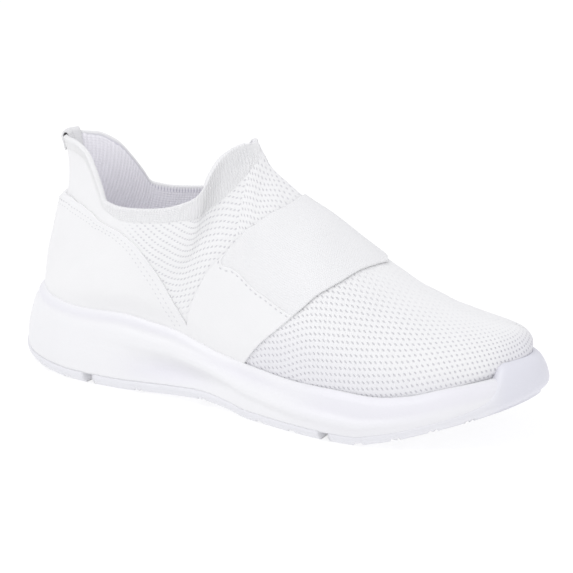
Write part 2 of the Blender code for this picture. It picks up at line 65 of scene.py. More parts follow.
# heights along the sole: share of length, share of ball width
soleTables = {
    "underside": [
        (0.000, 0.060), (0.020, 0.038), (0.060, 0.018), (0.110, 0.006), (0.150, 0.000), (0.240, 0.000),
        (0.300, 0.008), (0.360, 0.020), (0.420, 0.030), (0.470, 0.020), (0.520, 0.000), (0.725, 0.000),
        (0.760, 0.020), (0.800, 0.048), (0.840, 0.082), (0.880, 0.114), (0.920, 0.146), (0.960, 0.182),
        (1.000, 0.225)],
    "stack": [
        (0.000, 0.230), (0.200, 0.230), (0.350, 0.200), (0.500, 0.155), (0.700, 0.120), (0.850, 0.085), (1.000, 0.075)],
    "rim": [
        (0.000, 0.388), (0.045, 0.384), (0.090, 0.362), (0.150, 0.354), (0.240, 0.364), (0.300, 0.345),
        (0.350, 0.325), (0.400, 0.288), (0.450, 0.258), (0.520, 0.238), (0.600, 0.226), (0.680, 0.229),
        (0.750, 0.222), (0.810, 0.240), (0.870, 0.280), (0.930, 0.310), (1.000, 0.345)],
    "sideTop": [
        (0.000, 0.388), (0.045, 0.384), (0.090, 0.362), (0.150, 0.354), (0.240, 0.364), (0.300, 0.345),
        (0.350, 0.325), (0.400, 0.288), (0.450, 0.258), (0.520, 0.238), (0.600, 0.226), (0.680, 0.229),
        (0.750, 0.222), (0.810, 0.240), (0.870, 0.280), (0.930, 0.340), (0.960, 0.376), (1.000, 0.392)],
    "lean": [(0.000, 0.064), (0.060, 0.061), (0.150, 0.057), (0.850, 0.057), (0.950, 0.056), (1.000, 0.055)],
    "treadSide": [(0.000, 0.052), (0.300, 0.050), (0.500, 0.046), (0.900, 0.040), (1.000, 0.040)],
}
wallRows = [(0.00, 0.00), (0.30, 0.00), (0.50, 0.13), (0.70, 0.38), (0.85, 0.66), (1.00, 1.00)]

# collar line: foot share, share of length, half opening by ball width, height by tallest height
collarRows = [
    (0.000, 0.061, 0.000, 0.922), (0.020, 0.068, 0.064, 0.922), (0.045, 0.098, 0.118, 0.920),
    (0.070, 0.130, 0.152, 0.892), (0.095, 0.154, 0.184, 0.835), (0.120, 0.173, 0.212, 0.777),
    (0.145, 0.191, 0.238, 0.722), (0.175, 0.225, 0.260, 0.713), (0.210, 0.261, 0.271, 0.719),
    (0.260, 0.314, 0.275, 0.738), (0.300, 0.355, 0.269, 0.770), (0.330, 0.380, 0.260, 0.803),
    (0.355, 0.393, 0.243, 0.848), (0.375, 0.399, 0.214, 0.898), (0.400, 0.409, 0.158, 0.955),
    (0.425, 0.427, 0.084, 0.990), (0.450, 0.444, 0.000, 1.000)]

# ridge line: foot share, share of length, height by tallest height
ridgeRows = [
    (0.450, 0.444, 1.000), (0.470, 0.455, 0.962), (0.490, 0.470, 0.910), (0.520, 0.495, 0.864),
    (0.550, 0.528, 0.808), (0.600, 0.579, 0.745), (0.650, 0.642, 0.655), (0.700, 0.704, 0.571),
    (0.760, 0.780, 0.491), (0.820, 0.843, 0.449), (0.880, 0.893, 0.430), (0.940, 0.925, 0.420),
    (1.000, 0.943, 0.414)]
middleRows = [(0.00, 0.000), (0.30, 0.000), (0.45, 0.030), (0.60, 0.070), (0.80, 0.105), (1.00, 0.110)]

# section of the upper: foot share, hip rise, hip out, shoulder out, shoulder drop
sectionRows = [
    (0.00, 0.33, 0.024, -0.106, 0.30), (0.06, 0.35, 0.030, -0.070, 0.30), (0.13, 0.40, 0.040, -0.010, 0.32),
    (0.21, 0.42, 0.045, 0.020, 0.35), (0.33, 0.45, 0.040, 0.030, 0.34), (0.40, 0.50, 0.034, 0.050, 0.28),
    (0.45, 0.55, 0.030, 0.080, 0.12), (0.50, 0.58, 0.030, 0.105, 0.04), (0.60, 0.62, 0.030, 0.155, 0.03),
    (0.70, 0.64, 0.025, 0.190, 0.05), (0.80, 0.64, 0.024, 0.205, 0.06), (0.88, 0.62, 0.030, 0.170, 0.06),
    (0.94, 0.60, 0.040, 0.100, 0.04), (1.00, 0.58, 0.045, 0.040, 0.02)]


def along(rows, column, t):  # smooth curve through the rows that never overshoots
    rows = np.asarray(rows, float)
    xs = rows[:, 0]
    ys = rows[:, column]
    steps = np.diff(xs)
    rates = np.diff(ys) / steps
    slopes = np.zeros(len(xs))
    slopes[0] = rates[0]
    slopes[-1] = rates[-1]
    for i in range(1, len(xs) - 1):
        if rates[i - 1] * rates[i] > 0:
            before = 2 * steps[i] + steps[i - 1]
            after = steps[i] + 2 * steps[i - 1]
            slopes[i] = (before + after) / (before / rates[i - 1] + after / rates[i])
    t = np.clip(np.asarray(t, float), xs[0], xs[-1])
    k = np.clip(np.searchsorted(xs, t, side="right") - 1, 0, len(steps) - 1)
    h = steps[k]
    a = (t - xs[k]) / h
    return (ys[k] * (1 + 2 * a) * (1 - a) ** 2 + slopes[k] * h * a * (1 - a) ** 2
            + ys[k + 1] * a * a * (3 - 2 * a) + slopes[k + 1] * h * a * a * (a - 1))


def outlineSides():  # closed smooth outline, sampled evenly and split at heel and toe
    p = np.array(outlineRows) * np.array([shoe["length"], shoe["ballWidth"]])
    n = len(p)
    length = np.linalg.norm(np.roll(p, -1, 0) - p, axis=1)
    knots = np.concatenate([[0.0], np.cumsum(length)])
    system = np.zeros((n, n))
    right = np.zeros((n, 2))
    for i in range(n):
        before = length[i - 1]
        after = length[i]
        system[i, i - 1] += before
        system[i, i] += 2 * (before + after)
        system[i, (i + 1) % n] += after
        right[i] = 6 * ((p[(i + 1) % n] - p[i]) / after - (p[i] - p[i - 1]) / before)
    bend = np.linalg.solve(system, right)
    t = np.linspace(0, knots[-1], 6001)[:-1]
    k = np.clip(np.searchsorted(knots, t, side="right") - 1, 0, n - 1)
    h = length[k][:, None]
    b = ((t - knots[k]) / length[k])[:, None]
    a = 1 - b
    j = (k + 1) % n
    line = a * p[k] + b * p[j] + ((a ** 3 - a) * bend[k] + (b ** 3 - b) * bend[j]) * h * h / 6
    heel = int(line[:, 0].argmin())
    line = np.roll(line, -heel, 0)
    line[:, 0] -= line[0, 0]
    line[:, 0] *= shoe["length"] / line[:, 0].max()
    toe = int(line[:, 0].argmax())
    sides = {}
    for side, part in ((-1, line[:toe + 1]), (1, np.vstack([line[:1], line[:toe - 1:-1]]))):
        step = np.concatenate([[0.0], np.cumsum(np.linalg.norm(np.diff(part, axis=0), axis=1))])
        share = np.linspace(0, 1, 1501)
        even = np.stack([np.interp(share, step / step[-1], part[:, c]) for c in (0, 1)], 1)
        run = np.gradient(even, axis=0)
        run[0] = (0, side)
        run[-1] = (0, -side)
        run /= np.linalg.norm(run, axis=1)[:, None]
        sides[side] = (share, even, np.stack([-run[:, 1], run[:, 0]], 1) * side)
    return sides


outlines = outlineSides()
acrossAll = np.concatenate([outlines[-1][1][:, 1], outlines[1][1][:, 1]])
shoe["middleY"] = (acrossAll.min() + acrossAll.max()) / 2
sideRun = 0.33  # metres along one side from heel to toe


def rimPoint(side, share):  # point and outward direction on the outline
    share = np.asarray(share, float)
    side = np.broadcast_to(side, share.shape)
    point = np.zeros(share.shape + (2,))
    out = np.zeros(share.shape + (2,))
    for which in (-1, 1):
        table, even, away = outlines[which]
        here = side == which
        for c in (0, 1):
            point[..., c] = np.where(here, np.interp(share, table, even[:, c]), point[..., c])
            out[..., c] = np.where(here, np.interp(share, table, away[:, c]), out[..., c])
    out /= np.linalg.norm(out, axis=-1, keepdims=True)
    return point, out


def chordX(share, inset):  # middle of the chord that joins the two sides
    outer, outward = rimPoint(-1, share)
    inner, inward = rimPoint(1, share)
    return (outer[..., 0] + inner[..., 0] - inset * (outward[..., 0] + inward[..., 0])) / 2


def bySole(name, x):
    return along(soleTables[name], 1, x / shoe["length"]) * shoe["ballWidth"]


def footbed(x):
    return bySole("underside", x) + bySole("stack", x)


def treadTop(x):
    return bySole("underside", x) + bySole("treadSide", x)


def bump(t, centre, half):
    return np.where(np.abs(t - centre) < half, 0.5 + 0.5 * np.cos(np.pi * (t - centre) / half), 0.0)


def ease(t, start, end):
    t = np.clip((t - start) / (end - start), 0, 1)
    return t * t * (3 - 2 * t)


def sideInset(x, z):  # lean, hollow and ridge of the side wall at height z
    low = bySole("underside", x)
    top = bySole("sideTop", x)
    share = np.clip((z - low) / (top - low), 0, 1)
    near = np.clip((z - low) / shoe["bevelHeight"], 0, 1)
    inset = along(wallRows, 1, share) * bySole("lean", x) + shoe["bevelInset"] * (1 - near) ** 2
    part = x / shoe["length"]
    inset = inset + shoe["hollowDepth"] * bump(part, 0.37, 0.15) * bump(share, 0.42, 0.30)
    ridgeLine = np.interp(part, [0.3, 0.85], [0.88, 0.30])
    return inset - shoe["ridgeHeight"] * bump(part, 0.58, 0.28) * bump(share, ridgeLine, 0.22)


def bedInset(x):
    return bySole("lean", x) + shoe["lip"]


crest = 0.007  # how wide the ridge is rounded


def upperPoint(side, u, v):  # cubic arc from the feather edge to the collar or the ridge
    shape = np.broadcast(side, u, v).shape
    side = np.broadcast_to(np.asarray(side), shape).copy()
    u = np.broadcast_to(np.asarray(u, float), shape).copy()
    v = np.broadcast_to(np.asarray(v, float), shape).copy()
    side = np.where((u < 0) | (u > 1), -side, side)
    u = np.where(u > 1, 2 - u, np.abs(u))
    over = (v > 1) & (u > shoe["tongueTip"])
    side = np.where(over, -side, side)
    v = np.where(over, 2 - v, v)
    edge, out = rimPoint(side, u)
    inset = bedInset(chordX(u, 0.0)) + shoe["bedClear"]
    foot = edge - out * inset[..., None]
    footZ = footbed(chordX(u, inset)) + shoe["gap"]
    isOpen = u <= shoe["tongueTip"]
    topX = np.where(isOpen, along(collarRows, 1, u), along(ridgeRows, 1, u)) * shoe["length"]
    half = np.where(isOpen, along(collarRows, 2, u), 0.0) * shoe["ballWidth"]
    topZ = np.where(isOpen, along(collarRows, 3, u), along(ridgeRows, 2, u)) * shoe["height"]
    topY = along(middleRows, 1, u) * shoe["ballWidth"] + side * half
    rise = topZ - footZ
    p0 = np.stack([foot[..., 0], foot[..., 1], footZ], -1)
    p3 = np.stack([topX, topY, topZ], -1)
    p1 = p0.copy()
    p1[..., :2] += out * (along(sectionRows, 2, u) * shoe["ballWidth"])[..., None]
    p1[..., 2] += rise * along(sectionRows, 1, u)
    p2 = p3.copy()
    p2[..., :2] += out * (along(sectionRows, 3, u) * shoe["ballWidth"])[..., None]
    p2[..., 2] -= rise * along(sectionRows, 4, u)
    a = v[..., None]
    b = 1 - a
    p = b ** 3 * p0 + 3 * b * b * a * p1 + 3 * b * a * a * p2 + a ** 3 * p3
    spread = np.maximum(((p[..., :2] - foot) * out).sum(-1), 0.0)
    free = np.clip((p[..., 2] - bySole("sideTop", chordX(u, inset))) / shoe["rimRelease"], 0.0, 1.0)
    p[..., :2] -= out * (spread * (1 - free * free * (3 - 2 * free)))[..., None]
    fall = rise * along(sectionRows, 4, u) / (along(sectionRows, 3, u) * shoe["ballWidth"] + 1e-6)
    away = np.hypot(p[..., 0] - topX, p[..., 1] - topY)
    bend = np.clip(crest - away, 0.0, None) ** 2 / (2 * crest)
    p[..., 2] -= np.minimum(fall, 0.3) * bend * ease(u, 0.45, 0.468)
    return p


def upperNormal(side, u, v):
    small = 0.002
    u = np.asarray(u, float)
    v = np.where(u > 1 - small, np.minimum(v, 1 - small), v)
    du = upperPoint(side, u + small, v) - upperPoint(side, u - small, v)
    dv = upperPoint(side, u, v + small) - upperPoint(side, u, v - small)
    n = np.cross(du, dv) * np.broadcast_to(-np.asarray(side), du.shape[:-1])[..., None]
    return n / np.linalg.norm(n, axis=-1, keepdims=True)


def toFrame(p):
    return p - np.array([shoe["length"] / 2, shoe["middleY"], 0.0])


# ---- node helpers
class Wire:  # wraps a socket so that shader maths reads as plain expressions
    def __init__(self, graph, socket):
        self.graph = graph
        self.socket = socket

    def math(self, operation, *others, clamp=False):
        return self.graph.node("ShaderNodeMath", {"operation": operation, "use_clamp": clamp},
                               {i: x for i, x in enumerate((self,) + others)})

    def __add__(self, other): return self.math("ADD", other)
    def __radd__(self, other): return self.math("ADD", other)
    def __sub__(self, other): return self.math("SUBTRACT", other)
    def __rsub__(self, other): return self.graph.node("ShaderNodeMath", {"operation": "SUBTRACT"}, {0: other, 1: self})
    def __mul__(self, other): return self.math("MULTIPLY", other)
    def __rmul__(self, other): return self.math("MULTIPLY", other)
    def __truediv__(self, other): return self.math("DIVIDE", other)
    def fract(self): return self.math("FRACT")
    def sine(self): return self.math("SINE")
    def least(self, other): return self.math("MINIMUM", other)
    def most(self, other): return self.math("MAXIMUM", other)

    def between(self, low, high):  # 0 below low, 1 above high
        return self.graph.node("ShaderNodeMapRange", {"interpolation_type": "SMOOTHSTEP"},
                               {"Value": self, "From Min": low, "From Max": high, "To Min": 0.0, "To Max": 1.0})


class Graph:
    def __init__(self, name):
        self.material = bpy.data.materials.new(name)
        self.material.use_nodes = True
        self.tree = self.material.node_tree
        self.shader = self.tree.nodes["Principled BSDF"]

    def node(self, kind, settings=None, sockets=None, out=0):
        item = self.tree.nodes.new(kind)
        for key, value in (settings or {}).items():
            if key == "stops":
                ramp = item.color_ramp
                for i, (place, colour) in enumerate(value):
                    stop = ramp.elements[i] if i < 2 else ramp.elements.new(place)
                    stop.position = place
                    stop.color = (*colour, 1.0)
            else:
                setattr(item, key, value)
        for key, value in (sockets or {}).items():
            if isinstance(value, Wire):
                self.tree.links.new(value.socket, item.inputs[key])
            else:
                item.inputs[key].default_value = value
        return Wire(self, item.outputs[out])

    def feed(self, **sockets):
        for key, value in sockets.items():
            target = self.shader.inputs[key.replace("_", " ")]
            if isinstance(value, Wire):
                self.tree.links.new(value.socket, target)
            else:
                target.default_value = value
        return self.material

    def layer(self, name):  # a UV map of the piece's own, as two numbers
        uv = self.node("ShaderNodeUVMap", {"uv_map": name})
        parts = self.tree.nodes.new("ShaderNodeSeparateXYZ")
        self.tree.links.new(uv.socket, parts.inputs[0])
        return Wire(self, parts.outputs[0]), Wire(self, parts.outputs[1])

    def noise(self, scale, detail=2.0, rough=0.5):
        place = self.node("ShaderNodeTexCoord", out=3)
        return self.node("ShaderNodeTexNoise", None, {"Vector": place, "Scale": scale, "Detail": detail, "Roughness": rough})

    def blend(self, factor, first, second):
        item = self.tree.nodes.new("ShaderNodeMix")
        item.data_type = "RGBA"
        for key, value in ((0, factor), (6, first), (7, second)):
            if isinstance(value, Wire):
                self.tree.links.new(value.socket, item.inputs[key])
            else:
                item.inputs[key].default_value = (*value, 1.0) if isinstance(value, tuple) else value
        return Wire(self, item.outputs[2])

    def relief(self, height, distance, strength=1.0):
        return self.node("ShaderNodeBump", None, {"Height": height, "Distance": distance, "Strength": strength})


# ---- mesh helpers
def gridPiece(name, columns, rows, place, capEnds=False, thick=0.0, flip=False):
    bm = bmesh.new()
    bmesh.ops.create_grid(bm, x_segments=columns, y_segments=rows, size=0.5)
    co = np.array([v.co[:] for v in bm.verts])
    a = np.rint((co[:, 0] + 0.5) * columns).astype(int)
    b = np.rint((co[:, 1] + 0.5) * rows).astype(int)
    points, cloth, mask = place(a, b)
    points = toFrame(points)
    for v, p in zip(bm.verts, points):
        v.co = p
    bm.verts.index_update()
    maps = [bm.loops.layers.uv.new("cloth"), bm.loops.layers.uv.new("mask")]
    for face in bm.faces:
        for corner in face.loops:
            i = corner.vert.index
            corner[maps[0]].uv = cloth[i]
            corner[maps[1]].uv = mask[i]
    bmesh.ops.remove_doubles(bm, verts=bm.verts, dist=2e-6)
    bmesh.ops.dissolve_degenerate(bm, dist=1e-7, edges=bm.edges)
    if capEnds:
        bmesh.ops.holes_fill(bm, edges=bm.edges, sides=0)
    bmesh.ops.recalc_face_normals(bm, faces=bm.faces)
    if flip:
        bmesh.ops.reverse_faces(bm, faces=bm.faces)
    for face in bm.faces:
        face.smooth = True
    mesh = bpy.data.meshes.new(name)
    bm.to_mesh(mesh)
    bm.free()
    item = bpy.data.objects.new(name, mesh)
    bpy.context.scene.collection.objects.link(item)
    if thick:
        wall = item.modifiers.new("wall", "SOLIDIFY")
        wall.thickness = thick
        wall.offset = -1
    return item


def dress(item, material, slot, *nodes):
    item.data.materials.clear()
    item.data.materials.append(material)
    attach(item, "root")
    if nodes:
        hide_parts(*nodes)
    return item


def twoSides(index, count):  # 0 to count is the outer side, count to 2 count comes back on the inner
    side = np.where(index <= count, -1, 1)
    share = np.where(index <= count, index, 2 * count - index) / count
    return side, share


def upperSpacing(t):  # shares along the foot, returned unchanged
    return t


def clothMap(side, u, v, rowCount=60):  # metres up the arc, counted from the collar or the ridge
    grid = np.linspace(0, 1, 121)
    lengths = {}
    for which in (-1, 1):
        us, vs = np.meshgrid(grid, np.linspace(0, 1, rowCount + 1), indexing="ij")
        p = upperPoint(which, us, vs)
        step = np.linalg.norm(np.diff(p, axis=1), axis=2)
        lengths[which] = np.concatenate([np.zeros((len(grid), 1)), np.cumsum(step, axis=1)], axis=1)
    k = np.clip(np.abs(u) * 120, 0, 119.999)
    i = k.astype(int)
    f = k - i
    m = np.clip(v * rowCount, 0, rowCount - 0.001)
    j = m.astype(int)
    g = m - j
    out = np.zeros(np.shape(u))
    for which in (-1, 1):
        table = lengths[which]
        value = ((table[i, j] * (1 - g) + table[i, j + 1] * g) * (1 - f)
                 + (table[i + 1, j] * (1 - g) + table[i + 1, j + 1] * g) * f)
        whole = table[i, -1] * (1 - f) + table[i + 1, -1] * f
        out = np.where(side == which, value - whole, out)
    return out


def clearOfRim(side, u, clear):
    low = np.zeros_like(u)
    high = np.full_like(u, 0.6)
    for step in range(20):
        mid = (low + high) / 2
        inset = bedInset(chordX(np.abs(u), 0.0)) + shoe["bedClear"]
        level = bySole("sideTop", chordX(np.abs(u), inset)) + clear
        above = upperPoint(side, u, mid)[..., 2] > level
        high = np.where(above, mid, high)
        low = np.where(above, low, mid)
    return high


# ---- materials
finishes = {
    # the knit's hole colour is painted shade in the pits of the mesh holes
    "knit": {"white": (0.84, 0.84, 0.845), "hole": (0.42, 0.41, 0.47), "holeAlong": 0.0050, "holeUp": 0.0031,
             "holeWide": 0.00078, "holeHigh": 0.00050, "yarnAlong": 0.0011, "yarnUp": 0.0008},
    "panel": {"white": (0.84, 0.84, 0.845), "roughness": 0.42},
    "band": {"white": (0.83, 0.83, 0.838), "roughness": 0.5},
    # the foam's paintedShade colour is lilac painted shade, laid on by the midsole's mask
    "foam": {"white": (0.83, 0.83, 0.845), "paintedShade": (0.765, 0.755, 0.81), "roughness": 0.38},
    # the rubber's paintedShade colour is lilac painted shade, a quarter strength over the tread and full on the toe
    # bumper
    "rubber": {"white": (0.80, 0.80, 0.825), "paintedShade": (0.73, 0.73, 0.79), "roughness": 0.42},
    # the stitches' grey is partly the thread and partly painted shade of the stitch holes
    "threadAndShade": {"white": (0.66, 0.66, 0.68), "roughness": 0.7},
    "lining": {"white": (0.82, 0.81, 0.85)},
    "bed": {"white": (0.80, 0.79, 0.83), "roughness": 0.85},
}


def knitMaterial():
    k = finishes["knit"]
    g = Graph("knit_white")
    along_, up = g.layer("cloth")
    holes, shade = g.layer("mask")

    def dots(shiftA, shiftB):
        a = ((along_ / k["holeAlong"] + shiftA).fract() - 0.5) * k["holeAlong"]
        b = ((up / k["holeUp"] + shiftB).fract() - 0.5) * k["holeUp"]
        a2 = (a + b * 0.45) / k["holeWide"]
        b2 = b / k["holeHigh"]
        return a2 * a2 + b2 * b2

    nearest = dots(0.0, 0.0).least(dots(0.5, 0.5))
    pit = (1 - nearest.between(0.25, 1.15)) * holes
    soft = (1 - nearest.between(0.2, 3.2)) * holes
    wale = (along_ * (2 * math.pi / k["yarnAlong"])).sine()
    course = (up * (2 * math.pi / k["yarnUp"])).sine()
    yarn = wale * 0.5 + course * 0.5 + wale * course * 0.4
    tone = g.noise(60.0, 3.0) * 0.05 + 0.975
    # painted shade: the second number of the mask darkens the knit to lilac-grey
    white = g.blend(shade, k["white"], (0.60, 0.585, 0.68))
    # painted shade: the pits of the mesh holes darken toward the hole colour
    colour = g.blend(pit * 0.65, white, k["hole"])
    height = yarn * 0.10 - pit * 1.1 - soft * 0.25 + tone
    return g.feed(Base_Color=colour, Roughness=0.85, Sheen_Weight=0.25, Sheen_Roughness=0.5,
                  Normal=g.relief(height, 0.00022))


def ribMaterial():
    k = finishes["knit"]
    g = Graph("rib_white")
    along_, up = g.layer("cloth")
    groove, shade = g.layer("mask")
    course = (up * (2 * math.pi / 0.0009)).sine()
    wale = (along_ * (2 * math.pi / 0.0006)).sine()
    # painted shade in the grooves between the ribs
    colour = g.blend(groove * 0.10, k["white"], (0.62, 0.61, 0.68))
    # painted shade on the rows that turn inside the collar
    colour = g.blend(shade, colour, (0.60, 0.585, 0.68))
    return g.feed(Base_Color=colour, Roughness=0.88, Sheen_Weight=0.25,
                  Normal=g.relief(course * 0.5 + wale * 0.3, 0.00012))


def smoothMaterial(name, key, grain, depth):
    k = finishes[key]
    g = Graph(name)
    rough = g.noise(900.0, 3.0) * 0.10 + (k["roughness"] - 0.05)
    tone = g.noise(35.0, 2.0)
    dark = tuple(c * 0.985 for c in k["white"])
    colour = g.blend(tone.between(0.3, 0.7), k["white"], dark)
    # lilac painted shade, blended in by the first number of the mask
    if "paintedShade" in k:
        paintedShadeMask, spare = g.layer("mask")
        colour = g.blend(paintedShadeMask, colour, k["paintedShade"])
    return g.feed(Base_Color=colour, Roughness=rough, Normal=g.relief(g.noise(grain, 3.0, 0.6), depth))


def bandMaterial(name):
    k = finishes["band"]
    g = Graph(name)
    along_, up = g.layer("cloth")
    cord = (up * (2 * math.pi / 0.0012)).sine()
    weave = (along_ * (2 * math.pi / 0.0009)).sine()
    return g.feed(Base_Color=g.blend(g.noise(40.0), k["white"], tuple(c * 0.975 for c in k["white"])),
                  Roughness=k["roughness"], Sheen_Weight=0.15,
                  Normal=g.relief(cord * 0.35 + weave * 0.35 + cord * weave * 0.3, 0.00008))


def liningMaterial():
    k = finishes["lining"]
    g = Graph("lining_lilac")
    along_, up = g.layer("cloth")
    wale = (along_ * (2 * math.pi / 0.0018)).sine()
    course = (up * (2 * math.pi / 0.0013)).sine()
    colour = g.blend(wale.between(-1.0, 0.6), tuple(c * 0.94 for c in k["white"]), k["white"])
    # the lining glows faintly in its own colour: painted light that brightens the inside of the shoe
    return g.feed(Base_Color=colour, Roughness=0.9, Sheen_Weight=0.2, Emission_Color=colour, Emission_Strength=0.12,
                  Normal=g.relief(wale * 0.5 + course * 0.25, 0.0002))


looks = {
    "knit": knitMaterial(),
    "rib": ribMaterial(),
    "panel": smoothMaterial("smooth_overlay", "panel", 1400.0, 0.00006),
    "band": bandMaterial("elastic_white"),
    "foam": smoothMaterial("midsole_foam", "foam", 700.0, 0.00009),
    "rubber": smoothMaterial("outsole_rubber", "rubber", 500.0, 0.00012),
    "lining": liningMaterial(),
    "bed": smoothMaterial("insole_lilac", "bed", 900.0, 0.00015),
    "threadAndShade": smoothMaterial("thread_grey", "threadAndShade", 900.0, 0.00005),
    "ribbon": bandMaterial("ribbon_white"),
}
print("materials made")


# ---- camera, floor and light
view = {"azimuth": 25.48, "elevation": 16.79, "roll": 1.99, "distance": 1.195, "scale": 2.0204,
        "aim": (0.140, 0.0, 0.050), "imageX": 280.5, "imageY": 296.5}


def buildCamera():
    a = math.radians(view["azimuth"])
    e = math.radians(view["elevation"])
    r = math.radians(view["roll"])
    back = np.array([math.sin(a) * math.cos(e), -math.cos(a) * math.cos(e), math.sin(e)])
    right = np.array([math.cos(a), math.sin(a), 0.0])
    up = np.cross(back, right)
    rightR = right * math.cos(r) + up * math.sin(r)
    upR = -right * math.sin(r) + up * math.cos(r)
    pixels = view["scale"] * 1000
    aim = toFrame(np.array(view["aim"]))
    aim = aim + rightR * (286.5 - view["imageX"]) / pixels - upR * (286.5 - view["imageY"]) / pixels
    data = bpy.data.cameras.new("camera")
    data.sensor_width = 36.0
    data.lens = view["scale"] * view["distance"] * 1000 / 573 * 36.0
    camera = bpy.data.objects.new("camera", data)
    bpy.context.scene.collection.objects.link(camera)
    place = aim + back * view["distance"]
    turn = Matrix([list(rightR), list(upR), list(back)]).transposed()
    camera.matrix_world = Matrix.Translation(place) @ turn.to_4x4()
    data.clip_start = 0.05
    data.clip_end = 20
    bpy.context.scene.camera = camera


studio = {"world": 0.84, "key": 13.0, "fill": 2.0}


def buildStudio():
    world = bpy.data.worlds.new("studio")
    bpy.context.scene.world = world
    world.use_nodes = True
    world.node_tree.nodes["Background"].inputs["Color"].default_value = (0.98, 0.98, 1.0, 1.0)
    world.node_tree.nodes["Background"].inputs["Strength"].default_value = studio["world"]
    for name, place, size, power in (("key", (-0.5, -0.9, 2.0), 1.2, studio["key"]),
                                     ("fill", (1.3, -1.2, 1.0), 1.4, studio["fill"])):
        light = bpy.data.lights.new(name, "AREA")
        light.size = size
        light.energy = power
        item = bpy.data.objects.new(name, light)
        bpy.context.scene.collection.objects.link(item)
        item.location = place
        item.rotation_euler = (Vector((0, 0, 0.05)) - Vector(place)).to_track_quat("-Z", "Y").to_euler()
    bm = bmesh.new()
    bmesh.ops.create_grid(bm, x_segments=8, y_segments=8, size=4.0)
    mesh = bpy.data.meshes.new("floor")
    bm.to_mesh(mesh)
    bm.free()
    floor = bpy.data.objects.new("floor", mesh)
    bpy.context.scene.collection.objects.link(floor)
    g = Graph("floor_white")
    g.feed(Base_Color=g.blend(g.noise(3.0), (0.33, 0.33, 0.335), (0.32, 0.32, 0.325)), Roughness=0.9,
           Emission_Color=(1.0, 1.0, 1.0, 1.0), Emission_Strength=0.72)
    mesh.materials.append(g.material)
    bpy.context.scene.view_settings.view_transform = "Standard"


buildCamera()
buildStudio()
print("camera and studio ready")


# ---- upper
# soft creases: side, foot share and rise at both ends, half width and depth in metres
creaseRows = [
    (-1, 0.405, 0.62, 0.330, 0.40, 0.0045, 0.0004), (1, 0.405, 0.62, 0.330, 0.40, 0.0045, 0.0004),
    (-1, 0.430, 0.50, 0.380, 0.26, 0.0045, -0.0005), (1, 0.430, 0.50, 0.380, 0.26, 0.0045, -0.0005),
    (-1, 0.735, 0.95, 0.700, 0.45, 0.0055, 0.0006), (1, 0.735, 0.95, 0.715, 0.55, 0.0055, 0.0006),
    (-1, 0.790, 0.92, 0.765, 0.50, 0.0050, 0.0004), (1, 0.790, 0.92, 0.765, 0.60, 0.0050, 0.0004),
    (-1, 0.190, 0.70, 0.130, 0.45, 0.0060, 0.0004), (1, 0.190, 0.70, 0.130, 0.45, 0.0060, 0.0004)]
upperLook = {"columns": 260, "rows": 72, "riseLength": 0.085, "swell": 0.0006}


def creased(side, u, v):
    total = np.zeros(len(u))
    for which, u0, v0, u1, v1, wide, deep in creaseRows:
        ax, ay = u0 * sideRun, v0 * upperLook["riseLength"]
        bx, by = u1 * sideRun - ax, v1 * upperLook["riseLength"] - ay
        px, py = u * sideRun - ax, v * upperLook["riseLength"] - ay
        t = np.clip((px * bx + py * by) / (bx * bx + by * by), 0, 1)
        away = np.hypot(px - bx * t, py - by * t)
        fade = 0.35 + 0.65 * np.sin(np.pi * t)
        total -= np.where(side == which, deep * fade * np.exp(-(away / wide) ** 2), 0.0)
    return total


def skinPoint(side, u, v, lift):  # a point over the upper, with its creases and its fullness above the rim
    side = np.broadcast_to(side, np.shape(u))
    p = upperPoint(side, u, v)
    inset = bedInset(chordX(np.abs(u), 0.0))
    above = p[:, 2] - bySole("sideTop", chordX(np.abs(u), inset))
    full = upperLook["swell"] * ease(above, -0.0022, 0.0008) * (1 - ease(above, 0.010, 0.030))
    raised = lift + (full + creased(side, np.abs(u), v)) * (1 - ease(u, 0.975, 0.995) * ease(v, 0.85, 0.97))
    return p + upperNormal(side, u, v) * raised[:, None]


def buildUpper():
    n = upperLook["columns"]
    rows = upperLook["rows"]

    def place(a, b):
        side, u = twoSides(a, n)
        v = b / rows
        p = skinPoint(side, u, v, np.zeros(len(a)))
        up = clothMap(side, u, v)
        vampStart = np.interp(v, [0, 0.3, 0.5, 0.75, 1.0], [0.45, 0.56, 0.61, 0.65, 0.67])
        vamp = ease(u, vampStart, vampStart + 0.012)
        crown = (1 - 0.80 * ease(v, 0.50, 0.90)) * (0.75 + 0.25 * ease(u, 0.80, 0.95))
        throat = ease(u, 0.17, 0.24) * (1 - ease(u, 0.53, 0.58)) * ease(v, 0.12, 0.25) * 0.62
        holes = vamp * crown + (1 - vamp) * throat
        # painted shade: darker low on the toe and along the foot of the vamp, by the rim
        paintedShade = 0.30 * ease(u, 0.86, 0.97) * (1 - ease(v, 0.45, 0.9)) + 0.25 * vamp * (1 - ease(v, 0.05, 0.35))
        return p, np.stack([u * sideRun, up], 1), np.stack([holes, paintedShade], 1)

    item = gridPiece("upper_knit", 2 * n, rows, place, thick=0.0009)
    dress(item, looks["knit"], "knit_white", "upper")


def buildLining():
    n = 120
    rows = 40

    def place(a, b):
        side, u = twoSides(a, n)
        v = b / rows
        p = upperPoint(side, u, v) - upperNormal(side, u, v) * (shoe["wall"] - 0.0002)
        return p, np.stack([u * sideRun, clothMap(side, u, v)], 1), np.zeros((len(a), 2))

    item = gridPiece("upper_lining", 2 * n, rows, place)
    wall = item.modifiers.new("wall", "SOLIDIFY")
    wall.thickness = 0.0008
    wall.offset = 0
    dress(item, looks["lining"], "insole_fabric")


